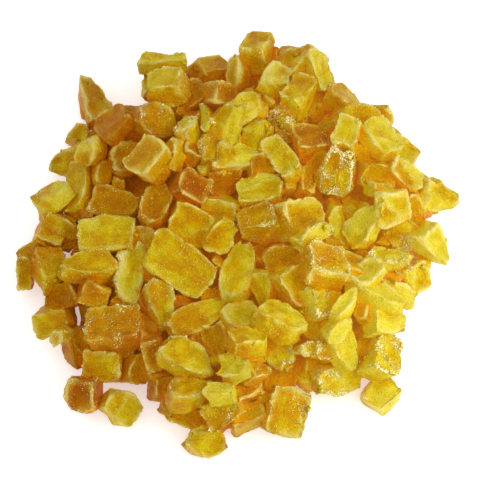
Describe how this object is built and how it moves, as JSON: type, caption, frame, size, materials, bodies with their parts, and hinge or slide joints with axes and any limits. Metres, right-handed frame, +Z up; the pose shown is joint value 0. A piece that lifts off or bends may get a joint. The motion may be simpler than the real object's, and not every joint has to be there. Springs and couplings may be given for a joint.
{
  "type": "heap of diced dried mango",
  "caption": "Loose round heap of small soft dried mango dice, slabs and torn offcuts that lie on one another, with a flat foot.",
  "frame": {"origin": "middle of the heap's foot, on the surface it lies on", "axes": "+Z up; +X to the right and +Y away from the viewer as the heap is looked at from its front"},
  "size_m": [0.1172, 0.1162, 0.0287],
  "materials": {
    "dried_mango": "satin"
  },
  "bodies": {
    "root": {"mango_heap": "dried_mango"}
  },
  "joints": []
}
